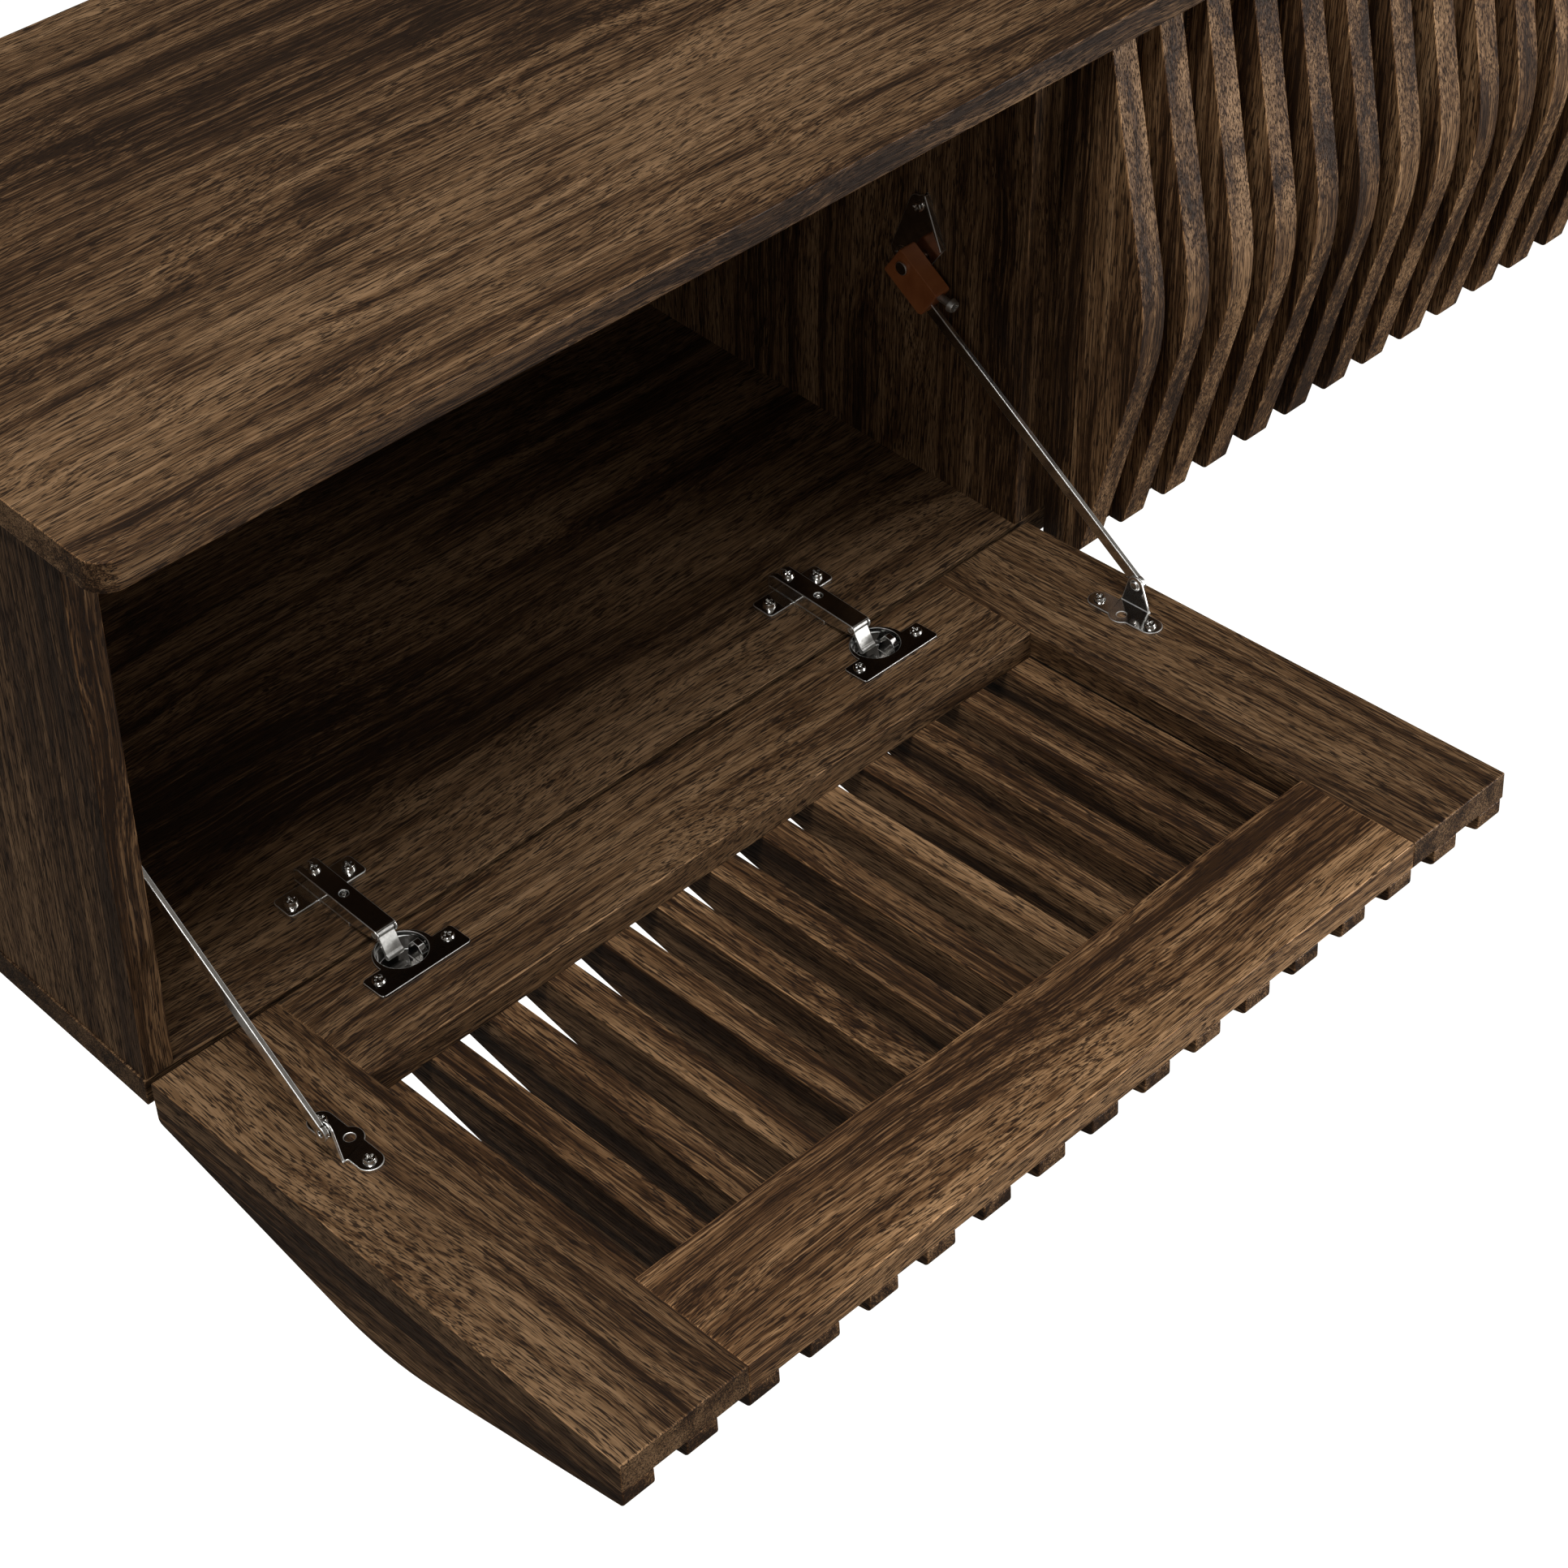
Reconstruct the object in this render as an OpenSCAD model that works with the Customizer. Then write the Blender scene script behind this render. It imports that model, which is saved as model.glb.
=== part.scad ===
// Wall-hung low cabinet with two drop-down doors faced with vertical slats.
// Frame: X to the right, front towards -Y, Z up. The origin is on the wall plane, on the
// cabinet's centre line, at the height of the wall screws. The left door is drawn open and
// the right door closed.

/* [Carcass] */
// Thickness of the side, top, bottom and door boards
board_t = 18; // [16:1:19]
// Clear width of each compartment
inner_w = 647; // [600:1:700]
// Clear height of each compartment
inner_h = 350; // [348:1:360]
// Depth from the wall to the front edges of the carcass
carcass_d = 380; // [340:5:420]
// Thickness of the centre divider
divider_t = 30; // [25:1:36]
// How far the bottom panel stands out beyond the side panels
bottom_reveal = 1; // [0:0.5:2]
// Thickness of the back panels
back_t = 4; // [3:0.5:6]
// Height of the hanging rails behind the back panels
rail_h = 80; // [60:5:100]
// Distance between the two wall screws of one hanging rail
wall_screw_gap = 460; // [400:10:500]
// Diameter of the wall screw holes
wall_screw_d = 8; // [6:0.5:10]

/* [Top panel] */
// Overhang of the top panel in front of the carcass
top_front = 40; // [36:1:50]
// Overhang of the top panel beyond each side panel
top_side = 5; // [2:1:10]
// Radius of the top panel's front corners
top_corner_r = 14; // [8:1:20]

/* [Doors] */
// Width of one door
door_w = 671; // [668:0.5:673]
// Height of one door
door_h = 365; // [360:0.5:366]
// Width of the upright frame members
stile_w = 82; // [78:1:90]
// Width of the level frame members
rail_w = 80; // [76:1:90]
// Gap between the carcass and a closed door
door_gap = 3.2; // [3.2:0.1:4]
// Angle through which a door opens
open_angle = 86; // [80:1:90]
// Radius on the inner lower edge of a door, which swings past the bottom panel
swing_edge_r = 2.5; // [2.5:0.1:4]

/* [Slats] */
// Number of slats on one door
slat_count = 17; // [15:1:19]
// Width of a slat
slat_w = 20; // [18:1:22]
// Depth of a slat at its ends
slat_end_d = 11; // [9:1:13]
// Slope of a slat's front face, in degrees
slat_slope = 12.8; // [10:0.2:14]
// Radius of the rounded peak half way up a slat
slat_peak_r = 170; // [100:10:200]
// Radius of the front corners at a slat's ends
slat_corner_r = 4; // [2:0.5:6]
// Inset of the last slat from the door's edge at the divider
slat_inset = 2; // [0:0.5:4]

/* [Hinges] */
// Distance from each door edge to the nearest hinge
hinge_inset = 153; // [140:1:170]
// Diameter of the hinge cup's bore
cup_d = 35; // [34:0.5:36]
// Depth of the hinge cup's bore
cup_bore_depth = 12; // [11.5:0.1:12.5]
// Distance from the door's lower edge to the centre of the cup
cup_v = 22.5; // [22:0.1:24]
// Distance between the two screws of a cup
cup_screw_gap = 48; // [46:1:52]
// Distance between the two wing screws of a hinge plate
wing_screw_gap = 40; // [36:1:44]

/* [Flap stays] */
// Depth of the stay's upper pivot behind the front of the carcass
stay_pivot_y = 84; // [80:1:95]
// Height of the stay's upper pivot above the cabinet floor
stay_pivot_z = 161; // [155:1:170]
// Distance up the door from its lower edge to the stay's lower pivot
stay_door_v = 110; // [105:1:115]
// Distance of the stay's lower pivot from the door's inner face
stay_door_w = 17; // [16:0.5:20]
// Offset of the bar's centre line from the upper pivot
stay_offset = 9; // [8.5:0.5:10]
// Height and thickness of the flat bar
bar_h = 8; // [6:0.5:9]
bar_t = 3; // [2:0.5:3]

/* [Hidden] */
$fn = 48;

// Colours
walnut = [0.33, 0.25, 0.19];
hdf = [0.30, 0.23, 0.18];
beech = [0.80, 0.66, 0.45];
nickel = [0.78, 0.78, 0.76];
zinc = [0.62, 0.62, 0.60];
brown = [0.36, 0.20, 0.11];

// Carcass levels and faces
half_w = inner_w + divider_t / 2 + board_t;      // centre line to a side panel's outer face
floor_z = rail_h / 2 - inner_h;                  // top face of the bottom panel
base_z = floor_z - board_t;                      // underside of the bottom panel
roof_z = rail_h / 2;                             // underside of the top panel
front_y = -carcass_d;                            // front edges of the carcass
groove_d = 6;                                    // depth of the grooves that hold the back panels
back_y = -board_t;                               // rear face of the back panels
fit = 0.05;                                      // clearance on the radius of pins and dowels
tiny = 0.01;

// Joinery
dowel_r = 4;
dowel_l = 30;
dowel_in_board = 12;
dowel_rows = [-70, -310];
screw_rows = [-40, -345];
cam_r = 7.5;
cam_depth = 12.5;
cam_reach = 34;

// Door, drawn closed: lower edge at base_z, inner face at door_y
door_y = front_y - door_gap;
door_x = -half_w + (half_w - divider_t / 2 + 6.5 - door_w);
frame_y = door_y - board_t;
lower_rail_x = door_x + stile_w;
lower_rail_w = door_w - 2 * stile_w;
slat_pitch = (door_w - slat_inset - slat_w) / (slat_count - 1);
slat_dowel_r = 3;
slat_dowel_v = [40, door_h - 40];

// Hinge axis of a door, and the pivots of a hinge's link
axis_y = front_y - 13.2;
axis_z = floor_z - 8.4;
link_y = front_y - 8;
link_z = floor_z + 9;
link_at = atan2(link_z - axis_z, link_y - axis_y);
link_ring = 5.5;
function link_end(turn) = [
  axis_y + link_ring * cos(link_at - open_angle / 2 + turn),
  axis_z + link_ring * sin(link_at - open_angle / 2 + turn)
];
hinge_x = [door_x + hinge_inset, door_x + door_w - hinge_inset];

// Stay pivots and the bar's direction and reach with the door turned by an angle
stay_y = front_y + stay_pivot_y;
stay_z = floor_z + stay_pivot_z;
stay_far_y = door_y + stay_door_w - axis_y;
stay_far_z = base_z + stay_door_v - axis_z;
function stay_foot(turn) = [
  axis_y + stay_far_y * cos(turn) - stay_far_z * sin(turn),
  axis_z + stay_far_y * sin(turn) + stay_far_z * cos(turn)
];
function stay_span(turn) = norm([stay_y, stay_z] - stay_foot(turn));
function stay_tilt(turn) = atan2(stay_z - stay_foot(turn)[1], stay_y - stay_foot(turn)[0])
  - asin(stay_offset / stay_span(turn));
function stay_reach(turn) = sqrt(pow(stay_span(turn), 2) - pow(stay_offset, 2));
bar_tail = 8;                                    // bar beyond the pivot with the door open
bar_side = 11;                                   // wall to the bar's near face
housing_side = 5.5;                              // wall to the housing's near face
housing_t = 12.5;
ear_side = bar_side + bar_t + 0.5;               // wall to the near face of the bracket's ear
ear_t = 1.5;
plate_t = 2;
door_hole_t = 25;                                // wall to the door bracket's screws
bracket_holes = [-20, 20];                       // along the door, from the lower pivot

// Placing helpers ----------------------------------------------------------------------

// Turns what is drawn on the closed left door about the door's hinge axis
module turned(turn) {
  translate([0, axis_y, axis_z]) rotate([turn, 0, 0]) translate([0, -axis_y, -axis_z]) children();
}

// Draws on the left (open) or, mirrored, on the right (closed)
module on_side(side) {
  mirror([side == "right" ? 1 : 0, 0, 0]) children();
}

// Local frame at a compartment wall: X away from the wall, for the outer or inner stay
module at_wall(place) {
  wall_x = place == "outer" ? -half_w + board_t : -divider_t / 2;
  translate([wall_x, 0, 0]) mirror([place == "outer" ? 0 : 1, 0, 0]) children();
}

// A prism along X: the outline is drawn in Y and Z
module along_x(x0, width) {
  translate([x0, 0, 0]) rotate([90, 0, 90]) linear_extrude(width) children();
}

// A box between two corners
module box(low, high) {
  translate(low) cube(high - low);
}

// A flat outline between two circles of one radius
module stadium(a, b, r) {
  way = b - a;
  translate(a) circle(r);
  translate(b) circle(r);
  translate(a) rotate(atan2(way[1], way[0])) translate([0, -r]) square([norm(way), 2 * r]);
}

// A rectangle with rounded corners about a centre
module rounded_box(width, height, r, centre) {
  for (x = [-1, 1], y = [-1, 1]) {
    translate(centre + [x * (width / 2 - r), y * (height / 2 - r)]) circle(r);
  }
  translate(centre) square([width - 2 * r, height], center = true);
  translate(centre) square([width, height - 2 * r], center = true);
}

// A round-headed screw along +Z: the head above z = 0, the shank below, a cross recess on top
module screw(shank_r, shank_l, head_r, head_h) {
  recess = head_r * 0.3;
  difference() {
    union() {
      translate([0, 0, -shank_l]) cylinder(r = shank_r, h = shank_l + tiny);
      cylinder(r1 = head_r, r2 = head_r * 0.8, h = head_h);
    }
    for (quarter = [0, 90]) {
      rotate([0, 0, quarter]) translate([-head_r * 0.6, -recess / 2, head_h * 0.4])
        cube([head_r * 1.2, recess, head_h]);
    }
  }
}

// Carcass ------------------------------------------------------------------------------

module top_outline() {
  reach = half_w + top_side;
  deep = carcass_d + top_front;
  translate([-reach, -deep + top_corner_r]) square([2 * reach, deep - top_corner_r]);
  translate([-reach + top_corner_r, -deep]) square([2 * (reach - top_corner_r), deep]);
  for (x = [-1, 1]) {
    translate([x * (reach - top_corner_r), -deep + top_corner_r]) circle(top_corner_r);
  }
}

upright_x = [-half_w + board_t / 2, 0, half_w - board_t / 2];

// Dowels that join the uprights to the top and bottom panels
module upright_dowels(grow) {
  for (x = upright_x, y = dowel_rows) {
    translate([x, y, roof_z - dowel_l + dowel_in_board - grow * 10])
      cylinder(r = dowel_r + grow, h = dowel_l + grow * 20);
    translate([x, y, floor_z - dowel_in_board - grow * 10])
      cylinder(r = dowel_r + grow, h = dowel_l + grow * 20);
  }
}

// Dowels that join the ends of the hanging rails to the uprights
module rail_dowels(grow) {
  for (side = ["left", "right"], z = [-25, 25]) {
    on_side(side) {
      for (x = [-half_w + board_t, -divider_t / 2]) {
        reach = x < -half_w / 2 ? -10 : -20;
        translate([x + reach - grow * 10, -board_t / 2, z])
          rotate([0, 90, 0]) cylinder(r = dowel_r - 1 + grow, h = dowel_l + grow * 20);
      }
    }
  }
}

// Screws from below into the uprights
module bottom_screw_holes() {
  for (x = upright_x, y = screw_rows) {
    translate([x, y, base_z - tiny]) cylinder(r = 2.5 + fit, h = 50);
    translate([x, y, base_z - tiny]) cylinder(r = 5.2, h = 3.4);
  }
}

// Bolts of the cam fittings, in the top panel and down into the uprights
module cam_bolt_holes() {
  for (x = upright_x, y = screw_rows) {
    translate([x, y, roof_z - cam_reach]) cylinder(r = 3.6, h = cam_reach);
    translate([x, y, roof_z - tiny]) cylinder(r = 2.5 + fit, h = 11);
  }
}

// Where each cam lock's open face lies, and its direction into the upright
cam_faces = [[-half_w + board_t, -1], [-divider_t / 2, 1], [half_w - board_t, 1]];
module cam_lock_holes(grow) {
  for (face = cam_faces, y = screw_rows) {
    translate([face[0], y, roof_z - cam_reach]) rotate([0, 90 * face[1], 0])
      translate([0, 0, -grow]) cylinder(r = cam_r + grow, h = cam_depth + grow);
  }
}

// Grooves for the back panels
module back_grooves() {
  for (side = ["left", "right"]) {
    on_side(side) back_panel_body(fit);
  }
}

module back_panel_body(grow) {
  box(
    [-half_w + board_t - groove_d - grow, back_y - back_t - grow, floor_z - groove_d - grow],
    [-divider_t / 2 + groove_d + grow, back_y + grow, roof_z + groove_d + grow]
  );
}

module top_panel() {
  color(walnut) difference() {
    translate([0, 0, roof_z]) linear_extrude(board_t) top_outline();
    upright_dowels(fit);
    cam_bolt_holes();
    back_grooves();
  }
}

module bottom_panel() {
  reach = half_w + bottom_reveal;
  color(walnut) difference() {
    box([-reach, front_y, base_z], [reach, 0, floor_z]);
    upright_dowels(fit);
    bottom_screw_holes();
    back_grooves();
    for (side = ["left", "right"]) on_side(side) hinge_plate_screw_set(fit);
  }
}

module side_panel() {
  difference() {
    box([-half_w, front_y, floor_z], [-half_w + board_t, 0, roof_z]);
    upright_dowels(fit);
    bottom_screw_holes();
    cam_bolt_holes();
    cam_lock_holes(fit);
    rail_dowels(fit);
    back_grooves();
    at_wall("outer") wall_screw_set(fit);
  }
}

module left_side_panel() {
  color(walnut) side_panel();
}

module right_side_panel() {
  color(walnut) on_side("right") side_panel();
}

module centre_divider() {
  color(walnut) difference() {
    box([-divider_t / 2, front_y, floor_z], [divider_t / 2, 0, roof_z]);
    upright_dowels(fit);
    bottom_screw_holes();
    cam_bolt_holes();
    cam_lock_holes(fit);
    rail_dowels(fit);
    back_grooves();
    for (side = ["left", "right"]) on_side(side) at_wall("inner") wall_screw_set(fit);
  }
}

module left_back_panel() {
  color(hdf) back_panel();
}

module right_back_panel() {
  color(hdf) on_side("right") back_panel();
}

// Holes for the wall screws, through a hanging rail and its back panel
module wall_holes_cut() {
  middle = -(half_w - board_t + divider_t / 2) / 2;
  for (x = [-1, 1]) {
    translate([middle + x * wall_screw_gap / 2, tiny, 0]) rotate([90, 0, 0])
      cylinder(r = wall_screw_d / 2, h = board_t + back_t + 2 * tiny);
  }
}

module hanging_rail() {
  difference() {
    box([-half_w + board_t, -board_t, -rail_h / 2], [-divider_t / 2, 0, rail_h / 2]);
    rail_dowels(fit);
    wall_holes_cut();
  }
}

module back_panel() {
  difference() {
    back_panel_body(0);
    wall_holes_cut();
  }
}

module left_hanging_rail() {
  color(beech) hanging_rail();
}

module right_hanging_rail() {
  color(beech) on_side("right") hanging_rail();
}

module carcass_dowels() {
  color(beech) {
    upright_dowels(0);
    rail_dowels(0);
  }
}

module cam_bolts() {
  color(zinc) for (x = upright_x, y = screw_rows) {
    translate([x, y, roof_z - cam_reach + 2]) {
      cylinder(r = 3, h = 3);
      cylinder(r = 1.8, h = cam_reach - 3);
      translate([0, 0, cam_reach - 4]) cylinder(r = 3, h = 2 - fit);
      translate([0, 0, cam_reach - 2]) cylinder(r = 2.5, h = 10);
    }
  }
}

module cam_locks() {
  color(zinc) difference() {
    cam_lock_holes(0);
    cam_bolt_holes();
    for (face = cam_faces, y = screw_rows) {
      for (quarter = [0, 90]) {
        translate([face[0], y, roof_z - cam_reach]) rotate([quarter, 0, 0]) cube([3, 9, 2], center = true);
      }
    }
  }
}

module bottom_screws() {
  color(zinc) for (x = upright_x, y = screw_rows) {
    translate([x, y, base_z + 3]) rotate([180, 0, 0]) screw(2.5, 44, 5, 2.6);
  }
}

// Hinges -------------------------------------------------------------------------------
// Local frame of a hinge: X across, Y back from the carcass front, Z up from the floor

plate_base_t = 3;
wing_y = 48;
wing_half_w = 27;
wing_depth = 17;
arm_half_w = 7;
arm_wall = 1.2;
arm_top = 12.5;
arm_back = 62;
arm_nose_r = 3.5;
rear_screw_y = 52;
front_screw_y = 26;
link_pin_r = 1.5;
link_half_w = 5.5;

module at_hinge(index) {
  translate([hinge_x[index], front_y, floor_z]) children();
}

module hinge_plate_screw_set(grow) {
  for (index = [0, 1], x = [-1, 1]) {
    at_hinge(index) translate([x * wing_screw_gap / 2, wing_y, plate_base_t])
      if (grow > 0) {
        translate([0, 0, -14.5]) cylinder(r = 2 + grow, h = 14.6);
      } else {
        screw(2, 14, 4.4, 3.4);
      }
  }
}

module hinge_plate() {
  difference() {
    linear_extrude(plate_base_t) difference() {
      union() {
        rounded_box(2 * wing_half_w, wing_depth, 3, [0, wing_y]);
        translate([-arm_half_w, 14]) square([2 * arm_half_w, arm_back - 14]);
      }
      for (x = [-1, 1]) translate([x * wing_screw_gap / 2, wing_y]) circle(2.2);
    }
    for (y = [front_screw_y, rear_screw_y]) {
      translate([0, y, -tiny]) cylinder(r = 2.2, h = plate_base_t + 2 * tiny);
    }
  }
}

module hinge_plates() {
  color(nickel) for (side = ["left", "right"], index = [0, 1]) {
    on_side(side) at_hinge(index) hinge_plate();
  }
}

module hinge_plate_screws() {
  color(nickel) for (side = ["left", "right"]) on_side(side) hinge_plate_screw_set(0);
}

module arm_outline() {
  nose = [link_y - front_y, link_z - floor_z];
  translate(nose) circle(arm_nose_r);
  polygon([
    [nose[0], nose[1] - arm_nose_r], [10, plate_base_t + 0.1], [arm_back, plate_base_t + 0.1],
    [arm_back, arm_top - 2], [arm_back - 4, arm_top], [8, arm_top], [nose[0], nose[1] + arm_nose_r]
  ]);
}

// A channel, open below, with a nose that holds the link's pin
module hinge_arm() {
  nose = [link_y - front_y, link_z - floor_z];
  difference() {
    along_x(-arm_half_w, 2 * arm_half_w) arm_outline();
    along_x(-arm_half_w + arm_wall, 2 * (arm_half_w - arm_wall)) polygon([
      [nose[0] - 5, nose[1] - 6], [6, -1], [arm_back - 3, -1], [arm_back - 3, arm_top - 1.6],
      [8, arm_top - 1.6], [2, nose[1] + 2.7], [nose[0] - 5, nose[1] + 2.7]
    ]);
    along_x(-arm_half_w - 1, 2 * arm_half_w + 2) translate(nose) circle(link_pin_r + 0.1);
    translate([0, front_screw_y, 0]) cylinder(r = 2.6, h = 20);
    translate([0, rear_screw_y, 0]) cylinder(r = 2.6, h = 20);
    box([-2.6, rear_screw_y, 0], [2.6, arm_back + 1, 20]);
  }
}

module hinge_arm_screws() {
  color(nickel) for (side = ["left", "right"], index = [0, 1]) {
    on_side(side) at_hinge(index) {
      translate([0, rear_screw_y, arm_top]) screw(2, arm_top - 0.5, 4, 2.2);
      translate([0, front_screw_y, arm_top - 2]) screw(2, arm_top - 2.5, 2.4, 1.6);
    }
  }
}

module left_outer_hinge_arm() {
  color(nickel) on_side("left") at_hinge(0) hinge_arm();
}

module left_inner_hinge_arm() {
  color(nickel) on_side("left") at_hinge(1) hinge_arm();
}

module right_inner_hinge_arm() {
  color(nickel) on_side("right") at_hinge(1) hinge_arm();
}

module right_outer_hinge_arm() {
  color(nickel) on_side("right") at_hinge(0) hinge_arm();
}

// The link between an arm's nose and the cup, with the door turned by an angle
module hinge_link(index, turn) {
  near = [link_y, link_z];
  far = link_end(turn);
  translate([hinge_x[index], 0, 0]) {
    along_x(-link_half_w, 2 * link_half_w) {
      stadium(near, far, 1.1);
      translate(near) circle(2.4);
      translate(far) circle(2);
    }
    along_x(-arm_half_w, 2 * arm_half_w) translate(near) circle(link_pin_r);
  }
}

module left_outer_hinge_link() {
  color(zinc) hinge_link(0, open_angle);
}

module left_inner_hinge_link() {
  color(zinc) hinge_link(1, open_angle);
}

module right_outer_hinge_link() {
  color(zinc) on_side("right") hinge_link(0, 0);
}

module right_inner_hinge_link() {
  color(zinc) on_side("right") hinge_link(1, 0);
}

// Local frame of a cup on a closed door: X across, Y up the door, Z into the cabinet
module at_cup(index) {
  translate([hinge_x[index], door_y, base_z + cup_v]) rotate([90, 0, 0]) mirror([0, 0, 1]) children();
}

flange_t = 2;
flange_low = 1.2;
flange_high = 19.7;
flange_half_w = 31;
tongue_x = 7.6;
tongue_w = 4.2;
tongue_foot = -cup_bore_depth + 1.4;
cup_screw_v = 7.5;
mouth_r = 14.8;
mouth_v = -2.5;

module hinge_cup() {
  bore_r = cup_d / 2;
  middle = (flange_low + flange_high) / 2;
  difference() {
    union() {
      translate([0, 0, -cup_bore_depth + 0.5]) cylinder(r = bore_r - 0.1, h = cup_bore_depth - 0.5);
      linear_extrude(flange_t) difference() {
        union() {
          circle(bore_r + 0.4);
          rounded_box(2 * flange_half_w, flange_high - flange_low, 2.5, [0, middle]);
        }
        for (x = [-1, 1]) translate([x * cup_screw_gap / 2, cup_screw_v]) circle(2.2);
      }
    }
    translate([0, 0, -cup_bore_depth + 1.5]) cylinder(r = bore_r - 1.2, h = cup_bore_depth - 1.5);
    translate([0, mouth_v, -1]) cylinder(r = mouth_r, h = flange_t + 2);
  }
  along_x(tongue_x, tongue_w) polygon([
    [-9, tongue_foot], [6, tongue_foot], [5, -2], [2, 1.8], [-3, 2.6], [-7, -2]
  ]);
}

module cup_screw_set(grow) {
  for (index = [0, 1], x = [-1, 1]) {
    at_cup(index) translate([x * cup_screw_gap / 2, cup_screw_v, flange_t])
      if (grow > 0) {
        translate([0, 0, -14]) cylinder(r = 1.9 + grow, h = 14);
      } else {
        screw(1.9, 13.5, 4.2, 1.6);
      }
  }
}

// Doors --------------------------------------------------------------------------------

// What is cut from a door's inner lower edge to round it
module swing_edge_cut() {
  difference() {
    box(
      [door_x - 1, door_y - swing_edge_r, base_z - tiny],
      [door_x + door_w + 1, door_y + tiny, base_z + swing_edge_r]
    );
    translate([door_x - 2, door_y - swing_edge_r, base_z + swing_edge_r]) rotate([0, 90, 0])
      cylinder(r = swing_edge_r, h = door_w + 4);
  }
}

// Dowels between the stiles and rails, and between the frame and the slats
module frame_dowel_set(grow) {
  for (x = [lower_rail_x, lower_rail_x + lower_rail_w], v = [20, 60, door_h - 60, door_h - 20]) {
    translate([x - 20 - grow * 10, door_y - board_t / 2, base_z + v]) rotate([0, 90, 0])
      cylinder(r = dowel_r + grow, h = 40 + grow * 20);
  }
}

module slat_dowel_set(grow) {
  for (i = [0 : slat_count - 1], v = slat_dowel_v) {
    translate([door_x + i * slat_pitch + slat_w / 2, frame_y - 9 - grow * 10, base_z + v])
      rotate([-90, 0, 0]) cylinder(r = slat_dowel_r + grow, h = 18 + grow * 20);
  }
}

module door_holes() {
  frame_dowel_set(fit);
  slat_dowel_set(fit);
  swing_edge_cut();
  for (place = ["outer", "inner"]) at_wall(place) door_bracket_screw_set(fit);
}

module stile(x) {
  difference() {
    box([x, frame_y, base_z], [x + stile_w, door_y, base_z + door_h]);
    door_holes();
  }
}

module rail(v) {
  difference() {
    box([lower_rail_x, frame_y, base_z + v], [lower_rail_x + lower_rail_w, door_y, base_z + v + rail_w]);
    door_holes();
    if (v == 0) {
      for (index = [0, 1]) {
        at_cup(index) translate([0, 0, -cup_bore_depth]) cylinder(r = cup_d / 2, h = cup_bore_depth + 1);
      }
      cup_screw_set(fit);
    }
  }
}

// Outline of a slat: depth in X, height in Y
slat_top_d = slat_end_d + door_h / 2 * tan(slat_slope);
slat_corner_d = slat_end_d + slat_corner_r * tan(slat_slope) - slat_corner_r / cos(slat_slope);
slat_peak_d = slat_top_d - slat_peak_r / cos(slat_slope);
slope_way = [cos(slat_slope), -sin(slat_slope)];

module slat_outline() {
  low = [slat_corner_d, slat_corner_r];
  peak = [slat_peak_d, door_h / 2];
  for (upper = [0, 1]) {
    translate([0, upper * door_h]) mirror([0, upper, 0]) {
      translate(low) circle(slat_corner_r);
      polygon([
        [0, 0], [low[0], 0], low + slat_corner_r * slope_way, peak + slat_peak_r * slope_way,
        [0, door_h / 2]
      ]);
    }
  }
  intersection() {
    translate(peak) circle(slat_peak_r, $fn = 360);
    translate([0, door_h / 4]) square([slat_top_d, door_h / 2]);
  }
}

module slats() {
  difference() {
    for (i = [0 : slat_count - 1]) {
      translate([door_x + i * slat_pitch + slat_w, frame_y, base_z]) rotate([90, 0, -90])
        linear_extrude(slat_w) slat_outline();
    }
    slat_dowel_set(fit);
  }
}

module left_outer_stile() {
  color(walnut) turned(open_angle) stile(door_x);
}

module left_inner_stile() {
  color(walnut) turned(open_angle) stile(door_x + door_w - stile_w);
}

module left_upper_rail() {
  color(walnut) turned(open_angle) rail(door_h - rail_w);
}

module left_lower_rail() {
  color(walnut) turned(open_angle) rail(0);
}

module left_slats() {
  color(walnut) turned(open_angle) slats();
}

module left_door_dowels() {
  color(beech) turned(open_angle) {
    frame_dowel_set(0);
    slat_dowel_set(0);
  }
}

module left_outer_hinge_cup() {
  color(nickel) turned(open_angle) at_cup(0) hinge_cup();
}

module left_inner_hinge_cup() {
  color(nickel) turned(open_angle) at_cup(1) hinge_cup();
}

module left_cup_screws() {
  color(nickel) turned(open_angle) cup_screw_set(0);
}

module right_outer_stile() {
  color(walnut) on_side("right") stile(door_x);
}

module right_inner_stile() {
  color(walnut) on_side("right") stile(door_x + door_w - stile_w);
}

module right_upper_rail() {
  color(walnut) on_side("right") rail(door_h - rail_w);
}

module right_lower_rail() {
  color(walnut) on_side("right") rail(0);
}

module right_slats() {
  color(walnut) on_side("right") slats();
}

module right_door_dowels() {
  color(beech) on_side("right") {
    frame_dowel_set(0);
    slat_dowel_set(0);
  }
}

module right_outer_hinge_cup() {
  color(nickel) on_side("right") at_cup(0) hinge_cup();
}

module right_inner_hinge_cup() {
  color(nickel) on_side("right") at_cup(1) hinge_cup();
}

module right_cup_screws() {
  color(nickel) on_side("right") cup_screw_set(0);
}

// Flap stays ---------------------------------------------------------------------------
// Drawn in the frame of at_wall: X away from the wall, Y and Z as in the cabinet

wall_holes = [[3.2, 35.5], [17.4, -3.8]];        // from the upper pivot
pivot_r = 3;

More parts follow.
